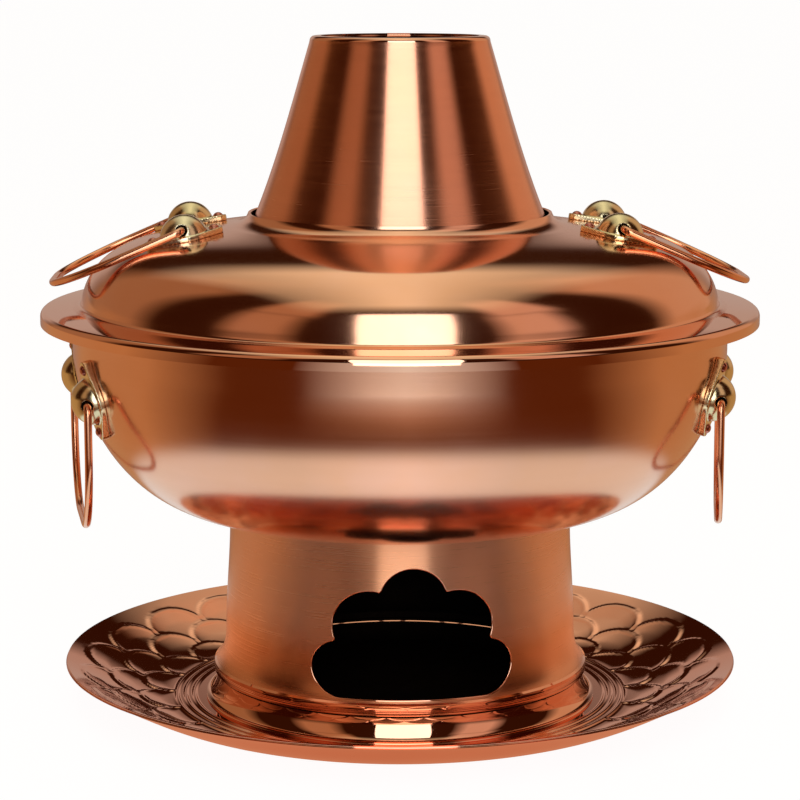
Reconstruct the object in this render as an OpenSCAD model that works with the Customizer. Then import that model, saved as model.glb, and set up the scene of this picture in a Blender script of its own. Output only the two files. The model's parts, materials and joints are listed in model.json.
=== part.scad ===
// Copper chimney hot pot: a charcoal-fired table pot that stands in its own tray.
// A spun bowl goes round a fire tube. The lid lifts off over the chimney, the
// chimney lifts off the fire tube, and four wire bails swing in riveted lugs.
// Millimetres. Origin: centre of the tray's underside. +Z is up, the front is -Y.

/* [Copper sheet] */
// Thickness of every spun copper sheet
gauge = 1.4; // [1:0.1:1.8]
// Gap left between pieces that only rest on each other
seat_gap = 0.3; // [0.2:0.05:0.4]

/* [Tray] */
// Outer radius of the tray
tray_r = 162; // [154:1:176]
// Height of the tray's rim above the table
tray_h = 22.2; // [18:0.5:28]
// Radius of the tray's flat well
tray_well_r = 112; // [104:1:120]
// Radius of the first raised ring in the well
well_ring_r = 100; // [98:0.5:102]
// Spacing of the raised rings in the well
well_ring_pitch = 4.2; // [3.6:0.1:5]
// Number of raised rings in the well
well_rings = 3; // [1:1:3]

/* [Foot and base] */
// Outer radius of the foot's lip
foot_lip_r = 94.8; // [93:0.2:97]
// Height of the foot ring
foot_h = 12; // [9:0.5:15]
// Outer radius of the moulded band above the foot
band_r = 90; // [88:0.5:92]
// Height of that band
band_h = 6; // [4:0.5:8]
// Height of the base from the foot ring to the bowl
base_h = 80.4; // [74:0.5:92]
// Outer radius of the base where it meets the bowl
base_top_r = 81.8; // [79:0.5:84]
// Outer radius of the base just above its flare
base_low_r = 84.3; // [82:0.5:86]
// Height of the flare at the bottom of the base
flare_h = 14.5; // [10:0.5:18]

/* [Draught opening] */
// Radius of the cloud's top lobe
cloud_top_r = 16; // [13:0.5:18]
// Radius of the cloud's shoulder lobes
cloud_mid_r = 17.3; // [15:0.5:19]
// Radius of the cloud's bottom lobes
cloud_low_r = 13.3; // [11:0.5:15]
// Height of the cloud's flat sill above the band
cloud_sill = 0.8; // [0.5:0.1:2]
// Angle that the opening is turned from the front, in degrees
cloud_turn = 2.3; // [0:0.1:8]

/* [Bowl] */
// Outer radius of the bowl's wall
bowl_r = 155.2; // [148:1:164]
// Depth of the bowl, from its floor to the underside of its flange
bowl_h = 92.8; // [84:1:104]
// Outer radius of the bowl's flat bottom
bowl_floor_r = 84; // [82.5:0.5:92]
// Width of the bowl's flange
flange_w = 10; // [8:0.5:13]
// Radius of the wired edge of the flange
edge_r = 2; // [1.7:0.1:2.2]

/* [Fire tube and grate] */
// Outer radius of the fire tube at the bowl's floor
tube_foot_r = 72; // [70:0.5:76]
// Height of the grate's seat above the bowl's underside
grate_z = 9; // [7:0.5:12]
// Thickness of the cast grate
grate_t = 5; // [4:0.5:7]
// Distance of the grate's edge inside the fire tube's wall
grate_play = 9.6; // [8.6:0.2:12.6]
// Width of the slots in the grate
slot_w = 6; // [4:0.5:8]
// Width of the bars between the slots
bar_w = 6; // [5:0.5:8]

/* [Lid] */
// Height of the lid from its flange to its neck
lid_h = 46; // [42:0.5:54]
// Drop from the edge of the neck to the crown of the lid
neck_h = 6.4; // [5:0.2:8]
// Distance of the lid's foot inside the bowl's wall
lid_inset = 4.4; // [3:0.2:6]
// Depth of the turned-down rim
rim_h = 6.8; // [5.5:0.1:8]
// Play between the rim and the bowl's wired edge
rim_play = 1.4; // [1:0.1:2]
// Play between the lid's neck and the chimney
neck_play = 1; // [0.8:0.1:1.5]

/* [Chimney] */
// Outer radius of the chimney at its foot
chimney_foot_r = 69.3; // [67:0.1:72]
// Outer radius of the chimney under its rolled top
chimney_top_r = 42.4; // [38:0.5:46]
// Height of the chimney
chimney_h = 85.5; // [75:0.5:110]
// Radius of the opening at the top
mouth_r = 36.4; // [32:0.2:37]
// Length of the collar that goes down into the fire tube
collar_h = 16; // [12:1:22]

/* [Handle lugs] */
// Half the distance between the two lugs of a lid handle
lid_lug_half = 33; // [30:0.5:38]
// Half the distance between the two lugs of a bowl handle
bowl_lug_half = 39; // [36:0.5:42]
// Angle that the bowl's handles are turned towards the front, in degrees
bowl_turn = 8.4; // [0:0.2:10]
// Radius of a lug's dome
dome_r = 11.3; // [10.5:0.1:12]
// Height of the dome's centre above the sheet
dome_lift = 0; // [-1:0.1:1.6]
// Thickness of a lug's plate
plate_t = 2.2; // [1.8:0.1:2.6]
// Distance of each rivet from the lug's centre
rivet_x = 14.8; // [14.4:0.1:16]
// Radius of the plate's ends
plate_end_r = 4; // [3.6:0.1:4.4]
// Height of the bail's hole above the sheet
eye_h = 4.8; // [4.6:0.1:5.4]
// Distance of the lid's lugs inside the lid's foot
lid_lug_in = 50.2; // [46.8:0.2:52.8]
// Height of the bowl's lugs above the bowl's underside
bowl_lug_z = 61.4; // [58:0.2:62]
// Radius of a rivet's shank
rivet_r = 1.5; // [1.2:0.1:1.7]
// Radius of a rivet's head
rivet_head_r = 2.5; // [2.2:0.1:2.8]

/* [Bails] */
// Diameter of the bail wire
wire_d = 3.6; // [3:0.1:3.8]
// Radial clearance of the wire in its eye
eye_clear = 0.08; // [0.05:0.01:0.1]
// Reach of a lid bail from its eyes
lid_bail_h = 67.5; // [64:0.5:73]
// Reach of a bowl bail from its eyes
bowl_bail_h = 60.5; // [56:0.5:66]
// Corner radius of a bail
bail_corner_r = 38; // [24:1:40]
// Angle below level at which a lid bail lies, in degrees
bail_rest = 23.5; // [20:0.5:23.5]

/* [Hidden] */
$fn = 96;

copper = "#B8703F";
polished = "#C4693F";
brass = "#C9B876";
iron = "#3A3836";

// ---- Levels, from the table up ----
z_well = gauge;
z_band = z_well + foot_h;
z_flare = z_band + band_h;
z_bowl = z_band + base_h;
z_flange = z_bowl + bowl_h;
z_edge = z_flange + gauge / 2;
z_lid = z_edge + edge_r + seat_gap;
z_neck = z_lid + lid_h;
tube_below_neck = 3.8;
z_tube = z_neck - tube_below_neck;
z_chimney = z_tube + seat_gap;

// ---- Radii that follow from the driving sizes ----
seat_w = 3.3;
tube_top_r = chimney_foot_r - seat_w;
neck_r = chimney_foot_r + neck_play + gauge;
edge_mid_r = bowl_r + flange_w;
rim_r = edge_mid_r + edge_r + rim_play + gauge;
lid_foot_r = bowl_r - lid_inset;
collar_play = 0.5;
collar_r = tube_top_r - gauge - collar_play;
grate_r = tube_foot_r - gauge - grate_play;
lid_lug_x = lid_foot_r - lid_lug_in;

// ---- Outline helpers: points are [radius, height] ----
curve_steps = 16;
short_steps = 10;
long_steps = 24;
bend_steps = 6;
function along(a, b, t) = a + (b - a) * t;
function bezier(p, t) =
    along(along(along(p[0], p[1], t), along(p[1], p[2], t), t),
          along(along(p[1], p[2], t), along(p[2], p[3], t), t), t);
function curve(p, n = curve_steps) = [for (i = [0:n]) bezier(p, i / n)];
function bend(centre, r, from, to, n = bend_steps) =
    [for (i = [0:n]) centre + r * [cos(along(from, to, i / n)), sin(along(from, to, i / n))]];
function back(pts) = [for (i = [len(pts) - 1:-1:0]) pts[i]];
function unit(v) = v / norm(v);
// Normal on the inner side of the step from a to b
function side(a, b) = unit([b[1] - a[1], a[0] - b[0]]);
// Points of the sheet's other face, one thickness to the inner side
function inner(pts, t) =
    [for (i = [0:len(pts) - 1])
        let (n1 = side(pts[max(i - 1, 0)], pts[max(i, 1)]),
             n2 = side(pts[min(i, len(pts) - 2)], pts[min(i + 1, len(pts) - 1)]),
             n = unit(n1 + n2))
        pts[i] + n * t / (n * n1)];
// Height on an outline at a radius, for an outline that runs outwards
function height_at(pts, r) = lookup(r, pts);
// Radius on an outline at a height, for an outline that runs downwards
function radius_at(pts, z) = lookup(z, [for (p = back(pts)) [p[1], p[0]]]);

module spun(pts) {
    rotate_extrude() polygon(pts);
}

module sheet(pts, t = gauge) {
    spun(concat(pts, back(inner(pts, t))));
}

// ---- Outlines ----
// Underside of the tray, from the rim in to the well
tray_rim_z = tray_h - gauge;
tray_sweep = 16;
tray_rim_rise = 0.37;
tray_face = curve([[tray_r, tray_rim_z], [tray_r - tray_sweep, tray_rim_z * (1 - tray_rim_rise)],
                   [tray_well_r + tray_sweep, 0], [tray_well_r, 0]]);

// Outside of the base, from the bowl down to the lower edge of the band
band_chamfer = 0.8;
flare_top_z = z_flare + flare_h;
band_in = 1.0;
wall_swell = 0.4;
flare_edge = 0.5;
flare_lean = 0.3;
flare_sweep = 1.7;
flare_low = 0.16;
base_face = concat(
    curve([[base_top_r, z_bowl], [base_top_r, along(z_bowl, flare_top_z, 0.4)],
           [base_low_r - wall_swell, along(z_bowl, flare_top_z, 0.6)], [base_low_r, flare_top_z]], short_steps),
    curve([[base_low_r, flare_top_z - flare_edge], [base_low_r + flare_lean, z_flare + flare_h / 2],
           [base_low_r + flare_sweep, z_flare + flare_h * flare_low],
           [band_r - band_in, z_flare]], short_steps),
    [[band_r, z_flare - band_chamfer], [band_r, z_band + band_chamfer], [band_r - band_chamfer, z_band]]);

// Outside of the foot ring, from the band down to the end of the lip
foot_in = 0.9;
foot_lean = 0.3;
foot_top_r = band_r - band_chamfer - foot_in;
lip_w = 2.6;
lip_sweep = 2;
foot_face = concat(
    curve([[foot_top_r, z_band], [foot_top_r + foot_lean, along(z_band, z_well, 0.4)],
           [foot_lip_r - lip_w - lip_sweep, z_well + gauge + lip_sweep], [foot_lip_r - lip_w, z_well + gauge]],
          short_steps),
    [[foot_lip_r, z_well + gauge]]);

// Outside of the bowl, from the flange down the wall and in to the fire tube
flange_bend = 3;
wall_straight = 14.6;
bowl_swell = 0.5625;
bowl_lean = 0.6;
bowl_sweep = 20.2;
bowl_dip = 0.7;
bowl_wall = curve([[bowl_r, z_flange - wall_straight], [bowl_r - bowl_lean, z_bowl + bowl_h * bowl_swell],
                   [bowl_r - bowl_sweep, z_bowl + bowl_dip], [bowl_floor_r, z_bowl]], long_steps);
bowl_face = concat(
    [[edge_mid_r, z_flange]],
    bend([bowl_r + flange_bend, z_flange - flange_bend], flange_bend, 90, 180),
    bowl_wall,
    [[tube_foot_r, z_bowl]]);

// Outside of the fire tube, from the chimney's seat down to its foot
tube_bend = 1.6;
tube_straight = 16;
tube_lip_in = 0.4;
tube_lip_r = chimney_foot_r - tube_lip_in;
tube_face = concat(
    [[tube_lip_r, z_tube - gauge]],
    bend([tube_top_r + tube_bend, z_tube - gauge - tube_bend], tube_bend, 90, 180),
    [[tube_foot_r, z_bowl + tube_straight], [tube_foot_r, z_bowl + tube_bend]]);

// Outside of the lid, from the neck out over the shoulder, flange and rim
crown_z = z_neck - neck_h;
neck_w = 10.3;
crown_r = neck_r + neck_w;
neck_lean = 0.9;
neck_drop = 4.2;
neck_sweep = 4.3;
neck_lift = 0.8;
crown_gap = [0.6, 0.08];
lid_foot_z = z_lid + 4;
flange_slope = 0.09;
function lid_flange_z(r) = z_lid + gauge + (edge_mid_r - r) * flange_slope;
function on_flange(r) = [r, lid_flange_z(r)];
rim_bend = 2.7;
rim_bend_from = 88;
crown_sweep = 30;
crown_drop = 4.6;
shoulder_in = 4.8;
shoulder_drop = 5.2;
foot_gap = [0.1, 0.4];
foot_sweep = [0.5, 1.5, 4];
lid_shoulder = curve([[crown_r, crown_z], [crown_r + crown_sweep, crown_z - crown_drop],
                      [lid_foot_r - shoulder_in, crown_z - shoulder_drop],
                      [lid_foot_r, lid_foot_z + foot_gap[1]]], long_steps);
lid_face = concat(
    curve([[neck_r, z_neck], [neck_r + neck_lean, z_neck - neck_drop],
           [neck_r + neck_sweep, crown_z + neck_lift],
           [crown_r - crown_gap[0], crown_z + crown_gap[1]]], short_steps),
    lid_shoulder,
    curve([[lid_foot_r + foot_gap[0], lid_foot_z], [lid_foot_r + foot_sweep[0], lid_flange_z(lid_foot_r)],
           on_flange(lid_foot_r + foot_sweep[1]), on_flange(lid_foot_r + foot_sweep[2])], bend_steps),
    bend(on_flange(rim_r - rim_bend) - [0, rim_bend], rim_bend, rim_bend_from, 0),
    [[rim_r, lid_flange_z(rim_r) - rim_h]]);

// Outside of the chimney, from its rolled mouth down to its foot
top_bend = 2.3;
top_bend_to = 8;
z_mouth = z_chimney + chimney_h;
chimney_sag = 2.2;
sag_top = 0.6;
side_at = [0.36, 0.66, 0.68];
chimney_side = curve([[chimney_top_r, z_mouth - top_bend * 1.1],
                      [along(chimney_top_r, chimney_foot_r, side_at[0]) - chimney_sag * sag_top,
                       along(z_mouth, z_chimney, side_at[0])],
                      [along(chimney_top_r, chimney_foot_r, side_at[1]) - chimney_sag,
                       along(z_mouth, z_chimney, side_at[2])],
                      [chimney_foot_r, z_chimney]]);
chimney_face = concat(
    [[mouth_r, z_mouth]],
    bend([chimney_top_r - top_bend, z_mouth - top_bend], top_bend, 90, top_bend_to),
    chimney_side);

// ---- Tray ----
well_ring_w = 1.5;
well_ring_h = 0.7;
well_ring_end = 30;

module tray() {
    color(polished) {
        sheet(concat(tray_face, [[0, 0]]));
        for (i = [0:well_rings - 1])
            spun(bend([well_ring_r + i * well_ring_pitch, gauge - well_ring_w + well_ring_h],
                      well_ring_w, 180 - well_ring_end, well_ring_end));
    }
}

// ---- Foot and base ----
module foot_ring() {
    color(polished) sheet(foot_face);
}

module lobe(x, z, r) {
    translate([x, z]) circle(r = r);
}

module cloud() {
    low_spread = 2.48;
    low_rise = 0.4;
    mid_rise = 0.82;
    mid_spread = 1.14;
    top_rise = 0.74;
    sill = z_flare + cloud_sill;
    low_z = sill + cloud_low_r;
    low_x = cloud_low_r * low_spread;
    mid_z = low_z + cloud_low_r * low_rise + cloud_mid_r * mid_rise;
    mid_x = cloud_mid_r * mid_spread;
    top_z = mid_z + cloud_top_r * top_rise;
    lobe(0, top_z, cloud_top_r);
    for (s = [-1, 1]) {
        lobe(s * mid_x, mid_z, cloud_mid_r);
        lobe(s * low_x, low_z, cloud_low_r);
    }
    polygon([[-low_x, sill], [low_x, sill], [low_x, low_z], [mid_x, mid_z], [0, top_z],
             [-mid_x, mid_z], [-low_x, low_z]]);
}

module base_drum() {
    reach = band_r + 20;
    color(copper) difference() {
        sheet(base_face);
        rotate([0, 0, cloud_turn]) translate([0, -base_top_r / 2, 0]) rotate([90, 0, 0])
            linear_extrude(height = reach) cloud();
    }
}

// ---- Bowl, fire tube and grate ----
module bowl() {
    color(copper) difference() {
        union() {
            sheet(bowl_face);
            translate([0, 0, z_edge]) rotate_extrude() translate([edge_mid_r, 0]) circle(r = edge_r, $fn = 32);
        }
        for (s = [-1, 1]) bowl_rivet_holes(s);
    }
}

module fire_tube() {
    foot_w = 6;
    color(copper) union() {
        sheet(tube_face);
        spun([[tube_foot_r - gauge, z_bowl + tube_bend], [tube_foot_r, z_bowl + tube_bend],
              [tube_foot_r, z_bowl], [tube_foot_r + foot_w, z_bowl],
              [tube_foot_r + foot_w, z_bowl - gauge], [tube_foot_r - gauge, z_bowl - gauge]]);
    }
}

seat_t = 2;
seat_lip = 7;
z_seat = z_bowl + grate_z;

module grate_seat() {
    color(iron) spun([[grate_r - seat_lip, z_seat - seat_t], [tube_foot_r - gauge, z_seat - seat_t],
                      [tube_foot_r - gauge, z_seat], [grate_r - seat_lip, z_seat]]);
}

module fire_grate() {
    ring_w = 6;
    pitch = slot_w + bar_w;
    inside_r = grate_r - ring_w;
    count = floor((inside_r - slot_w / 2) / pitch);
    color(iron) translate([0, 0, z_seat + seat_gap]) difference() {
        cylinder(r = grate_r, h = grate_t);
        for (i = [-count:count]) {
            half = sqrt(pow(inside_r, 2) - pow(abs(i) * pitch + slot_w / 2, 2));
            for (s = [-1, 1])
                translate([s > 0 ? bar_w / 2 : -half, i * pitch - slot_w / 2, -1])
                    cube([half - bar_w / 2, slot_w, grate_t + 2]);
        }
    }
}

// ---- Lid and chimney ----
module lid() {
    color(copper) difference() {
        sheet(lid_face);
        for (s = [-1, 1]) lid_rivet_holes(s);
    }
}

// The foot is cut off level, so that it stands clear of the fire tube's rim
module chimney_cone() {
    color(copper) difference() {
        sheet(chimney_face);
        translate([0, 0, z_chimney - gauge]) cylinder(r = chimney_foot_r, h = gauge);
    }
}

module chimney_collar() {
    stay_h = 4;
    stay_z = z_chimney + 2;
    inside = inner(chimney_face, gauge);
    gap = 0.1;
    color(copper) spun([[collar_r - gauge, z_chimney - collar_h], [collar_r, z_chimney - collar_h],
                        [collar_r, stay_z],
                        [radius_at(inside, stay_z) - gap, stay_z],
                        [radius_at(inside, stay_z + stay_h) - gap, stay_z + stay_h],
                        [collar_r - gauge, stay_z + stay_h]]);
}

// ---- Handle lugs: each has its own frame, with +Z out of the sheet and X along the plate ----
half_plate = rivet_x + plate_end_r;

// Places its children on the lid, at the lug on side s (-1 left, 1 right) and end e (-1 front, 1 rear)
lid_lug_r = norm([lid_lug_x, lid_lug_half]);
lid_lug_turn = atan2(lid_lug_half, lid_lug_x);
lid_lug_fall = height_at(lid_shoulder, lid_lug_r - half_plate)
             - height_at(lid_shoulder, lid_lug_r + half_plate);
lid_lug_tilt = atan2(lid_lug_fall, 2 * half_plate);
lid_lug_z = height_at(lid_shoulder, lid_lug_r);

module on_lid(s, e) {
    turn = s > 0 ? e * lid_lug_turn : 180 - e * lid_lug_turn;
    rotate([0, 0, turn]) translate([lid_lug_r, 0, lid_lug_z]) rotate([0, lid_lug_tilt, 0]) children();
}

// Places its children on the bowl's wall in the same way, with the handle turned to the front
bowl_lug_level = z_bowl + bowl_lug_z;
bowl_lug_r = radius_at(bowl_wall, bowl_lug_level);
bowl_lug_turn = asin(bowl_lug_half / bowl_lug_r);
bowl_lug_fall = radius_at(bowl_wall, bowl_lug_level + half_plate)
              - radius_at(bowl_wall, bowl_lug_level - half_plate);
bowl_lug_tilt = atan2(bowl_lug_fall, 2 * half_plate);

module turned(s) {
    rotate([0, 0, -s * bowl_turn]) children();
}

module on_bowl(s, e) {
    turn = s > 0 ? e * bowl_lug_turn - bowl_turn : 180 - e * bowl_lug_turn + bowl_turn;
    rotate([0, 0, turn]) translate([bowl_lug_r, 0, bowl_lug_level])
        rotate([0, 90 + bowl_lug_tilt, 0]) children();
}

// Drop of the sheet below a lug's plate, at a distance along the plate
function lid_drop(x) =
    (lid_lug_z - x * sin(lid_lug_tilt) - height_at(lid_shoulder, lid_lug_r + x * cos(lid_lug_tilt)))
    * cos(lid_lug_tilt);
function bowl_drop(x) =
    (bowl_lug_r - x * sin(bowl_lug_tilt) - radius_at(bowl_wall, bowl_lug_level - x * cos(bowl_lug_tilt)))
    * cos(bowl_lug_tilt);

// Eyes: where the bails turn
lid_eye = [(lid_lug_r + eye_h * sin(lid_lug_tilt)) * cos(lid_lug_turn),
           lid_lug_z + eye_h * cos(lid_lug_tilt)];
bowl_eye = [(bowl_lug_r + eye_h * cos(bowl_lug_tilt)) * cos(bowl_lug_turn),
            bowl_lug_level - eye_h * sin(bowl_lug_tilt)];
eye_r = wire_d / 2 + eye_clear;
mouth_extra = 0.7;
mouth_depth = 2;

plate_mid_r = dome_r + 0.6;
plate_sink = 4;
rivet_hole_r = rivet_r + 0.02;

module lug_body() {
    lean = acos((plate_mid_r - plate_end_r) / rivet_x);
    out = [cos(lean), sin(lean)];
    corner = [[rivet_x, 0] + plate_end_r * out, plate_mid_r * out];
    outline = concat(corner,
                     [for (p = back(corner)) [-p[0], p[1]]],
                     [for (p = corner) [-p[0], -p[1]]],
                     [for (p = back(corner)) [p[0], -p[1]]]);
    depth = plate_sink + plate_t;
    difference() {
        union() {
            translate([0, 0, -plate_sink]) {
                cylinder(r = plate_mid_r, h = depth);
                for (s = [-1, 1]) translate([s * rivet_x, 0, 0]) cylinder(r = plate_end_r, h = depth);
                linear_extrude(height = depth) polygon(outline);
            }
            translate([0, 0, dome_lift]) sphere(r = dome_r);
        }
        for (s = [-1, 1]) translate([s * rivet_x, 0, -2 * plate_sink])
            cylinder(r = rivet_hole_r, h = 3 * plate_sink, $fn = 32);
    }
}

// Blind hole for the end of a bail, entered from the outer side of the lug
module eye(at, half, s, e) {
    reach = 14;
    translate([s * at[0], e * (half - 1), at[1]]) rotate([-90 * e, 0, 0]) {
        cylinder(r = eye_r, h = reach + 1);
        translate([0, 0, dome_r - mouth_depth]) cylinder(r = eye_r + mouth_extra, h = reach);
    }
}

module lid_filled() {
    spun(concat([[0, z_lid], [0, crown_z]], lid_shoulder, [[lid_foot_r, z_lid]]));
}

module bowl_filled() {
    wall_top = z_flange - flange_bend;
    spun(concat([[0, wall_top], [bowl_r, wall_top]], bowl_wall, [[0, z_bowl]]));
}

module lid_lug(s, e) {
    color(brass) difference() {
        on_lid(s, e) lug_body();
        lid_filled();
        eye(lid_eye, lid_lug_half, s, e);
    }
}

module bowl_lug(s, e) {
    color(brass) difference() {
        on_bowl(s, e) lug_body();
        bowl_filled();
        turned(s) eye(bowl_eye, bowl_lug_half, s, e);
    }
}

// A rivet through the plate and the sheet, which lies deeper under the plate by drop
module rivet(drop) {
    inner_head_h = 1;
    outer_head_h = 1.6;
    head_gap = 0.15;
    overlap = 0.1;
    ball_r = (pow(rivet_head_r, 2) + pow(outer_head_h, 2)) / (2 * outer_head_h);
    grip = drop + gauge + head_gap;
    translate([0, 0, -grip - inner_head_h]) cylinder(r = rivet_head_r, h = inner_head_h, $fn = 32);
    translate([0, 0, -grip - overlap]) cylinder(r = rivet_r, h = grip + plate_t + 2 * overlap, $fn = 32);
    intersection() {
        translate([0, 0, plate_t + outer_head_h - ball_r]) sphere(r = ball_r, $fn = 32);
        translate([0, 0, plate_t]) cylinder(r = rivet_head_r + 1, h = outer_head_h + 1, $fn = 32);
    }
}

// The drop is taken at the far edge of the inner head, so that the head clears the sheet
module rivet_pair(drops) {
    for (s = [-1, 1]) translate([s * rivet_x, 0, 0]) rivet(drops[s > 0 ? 1 : 0]);
}

module rivet_hole() {
    translate([0, 0, -plate_sink - gauge]) cylinder(r = rivet_hole_r, h = 2 * (plate_sink + gauge), $fn = 32);
}

module hole_pair() {
    for (x = [-rivet_x, rivet_x]) translate([x, 0, 0]) rivet_hole();
}

module lid_rivet_holes(s) {
    for (e = [-1, 1]) on_lid(s, e) hole_pair();
}

module bowl_rivet_holes(s) {
    for (e = [-1, 1]) on_bowl(s, e) hole_pair();
}

head_reach = rivet_x + rivet_head_r;

module lid_rivets(s) {
    drops = [lid_drop(-head_reach), lid_drop(head_reach)];
    color(polished) for (e = [-1, 1]) on_lid(s, e) rivet_pair(drops);
}

module bowl_rivets(s) {
    drops = [bowl_drop(-head_reach), bowl_drop(head_reach)];
    color(polished) for (e = [-1, 1]) on_bowl(s, e) rivet_pair(drops);
}

// ---- Bails: drawn hanging from the eyes, with the eyes on the Y axis ----
wire_r = wire_d / 2;
leg_gap = 0.4;
end_bend_r = wire_d;
pin_in = 9;

module wire_bend(r) {
    rotate_extrude(angle = 90) translate([r, 0]) circle(r = wire_r, $fn = 24);
}

module half_bail(reach, half) {
    outside = half + plate_mid_r;
    leg_y = outside + leg_gap + wire_r;
    corner_y = leg_y - bail_corner_r;
    // Pin in the eye, then the tight bend into the leg
    translate([0, outside - pin_in, 0]) rotate([-90, 0, 0])
        cylinder(r = wire_r, h = leg_y - end_bend_r - outside + pin_in, $fn = 24);
    translate([0, leg_y - end_bend_r, -end_bend_r]) rotate([0, -90, 0]) wire_bend(end_bend_r);
    // Leg, corner and half of the grip
    leg_h = reach - bail_corner_r;
    translate([0, leg_y, -leg_h]) cylinder(r = wire_r, h = leg_h - end_bend_r, $fn = 24);
    translate([0, corner_y, -leg_h]) rotate([0, 90, 0]) wire_bend(bail_corner_r);
    translate([0, -0.5, -reach]) rotate([-90, 0, 0]) cylinder(r = wire_r, h = corner_y + 0.5, $fn = 24);
}

module bail(reach, half) {
    color(polished) union() {
        half_bail(reach, half);
        mirror([0, 1, 0]) half_bail(reach, half);
    }
}

module bowl_bail(s) {
    turned(s) translate([s * bowl_eye[0], 0, bowl_eye[1]]) bail(bowl_bail_h, bowl_lug_half);
}

module lid_bail(s) {
    translate([s * lid_eye[0], 0, lid_eye[1]]) rotate([0, -s * (90 - bail_rest), 0])
        bail(lid_bail_h, lid_lug_half);
}

tray();
foot_ring();
base_drum();
bowl();
fire_tube();
grate_seat();
bowl_lug(-1, -1);  // bowl_lug_left_front
bowl_lug(-1, 1);  // bowl_lug_left_rear
bowl_lug(1, -1);  // bowl_lug_right_front
bowl_lug(1, 1);  // bowl_lug_right_rear
bowl_rivets(-1);  // bowl_rivets_left
bowl_rivets(1);  // bowl_rivets_right
bowl_bail(-1);  // bowl_bail_left
bowl_bail(1);  // bowl_bail_right
lid();
lid_lug(-1, -1);  // lid_lug_left_front
lid_lug(-1, 1);  // lid_lug_left_rear
lid_lug(1, -1);  // lid_lug_right_front
lid_lug(1, 1);  // lid_lug_right_rear
lid_rivets(-1);  // lid_rivets_left
lid_rivets(1);  // lid_rivets_right
lid_bail(-1);  // lid_bail_left
lid_bail(1);  // lid_bail_right
chimney_cone();
chimney_collar();
fire_grate();
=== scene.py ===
"""Looks of a copper chimney hot pot: a spun bowl round a fire tube, on its embossed tray."""
import json
from math import atan2, cos, hypot, pi, radians, sin, sqrt

import bmesh
import bpy
from mathutils import Matrix, Vector


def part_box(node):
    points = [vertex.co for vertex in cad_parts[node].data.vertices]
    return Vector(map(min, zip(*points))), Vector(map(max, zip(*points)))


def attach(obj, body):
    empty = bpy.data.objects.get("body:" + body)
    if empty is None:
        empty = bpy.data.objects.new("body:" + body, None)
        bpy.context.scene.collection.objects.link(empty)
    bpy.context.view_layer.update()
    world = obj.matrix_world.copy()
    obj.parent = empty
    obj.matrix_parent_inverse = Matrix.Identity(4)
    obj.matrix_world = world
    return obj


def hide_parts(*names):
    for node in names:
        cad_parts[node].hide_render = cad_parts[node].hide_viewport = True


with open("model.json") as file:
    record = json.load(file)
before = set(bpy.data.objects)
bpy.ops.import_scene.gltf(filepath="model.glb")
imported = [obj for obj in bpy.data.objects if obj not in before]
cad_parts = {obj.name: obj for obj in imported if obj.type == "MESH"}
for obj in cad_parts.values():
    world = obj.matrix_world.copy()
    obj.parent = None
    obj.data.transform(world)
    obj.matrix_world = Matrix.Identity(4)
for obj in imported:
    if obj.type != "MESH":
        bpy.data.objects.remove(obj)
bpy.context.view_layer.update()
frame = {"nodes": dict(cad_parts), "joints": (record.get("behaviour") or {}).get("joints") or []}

MM = 0.001
nodes = frame["nodes"]


# ---------------------------------------------------------------- sizes, in millimetres
def low(node, axis=2):
    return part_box(node)[0][axis] / MM


def high(node, axis=2):
    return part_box(node)[1][axis] / MM


GAUGE = 1.4
EDGE_R = 2.0
SPIN_STEPS = 180
CURVE_STEPS = 32
BEND_STEPS = 8
TOUCHING = 0.02

TRAY_R = high("tray", 0)
TRAY_H = high("tray")
WELL_R = 112.0
Z_WELL = low("foot_ring")
Z_BAND = low("base_drum")
BAND_H = 6.0
Z_FLARE = Z_BAND + BAND_H
FLARE_H = 14.5
Z_BOWL = high("base_drum")
BASE_TOP_R = 81.8
BASE_LOW_R = 84.3
BAND_R = high("base_drum", 0)
FOOT_LIP_R = high("foot_ring", 0)
BOWL_FLOOR_R = 84.0
TUBE_FOOT_R = high("grate_seat", 0) + GAUGE
Z_EDGE = high("bowl") - EDGE_R
Z_FLANGE = Z_EDGE - GAUGE / 2
EDGE_MID_R = high("bowl", 0) - EDGE_R
FLANGE_W = 10.0
BOWL_R = EDGE_MID_R - FLANGE_W
BOWL_H = Z_FLANGE - Z_BOWL
RIM_R = high("lid", 0)
Z_NECK = high("lid")
LID_H = 46.0
Z_LID = Z_NECK - LID_H
LID_FOOT_IN = 4.4
LID_FOOT_R = BOWL_R - LID_FOOT_IN
Z_TUBE = high("fire_tube")
Z_CHIMNEY = low("chimney_cone")
Z_MOUTH = high("chimney_cone")
CHIMNEY_FOOT_R = high("chimney_cone", 0)
CHIMNEY_TOP_R = 42.4
MOUTH_R = 36.4
NECK_PLAY = 1.0
NECK_R = CHIMNEY_FOOT_R + NECK_PLAY + GAUGE
TUBE_RIM_W = 3.3
TUBE_TOP_R = CHIMNEY_FOOT_R - TUBE_RIM_W


# ---------------------------------------------------------------- outlines, as [radius, height]
def along(a, b, t):
    return a + (b - a) * t


def curve(p, n=CURVE_STEPS):
    """Points of a cubic curve through the first and last of four points."""
    pts = []
    for i in range(n + 1):
        t = i / n
        w = ((1 - t) ** 3, 3 * t * (1 - t) ** 2, 3 * t * t * (1 - t), t ** 3)
        pts.append([sum(w[k] * p[k][0] for k in range(4)), sum(w[k] * p[k][1] for k in range(4))])
    return pts


def bend(centre, r, start, end, n=BEND_STEPS):
    """Points of a round bend."""
    angles = [radians(along(start, end, i / n)) for i in range(n + 1)]
    return [[centre[0] + r * cos(a), centre[1] + r * sin(a)] for a in angles]


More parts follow.
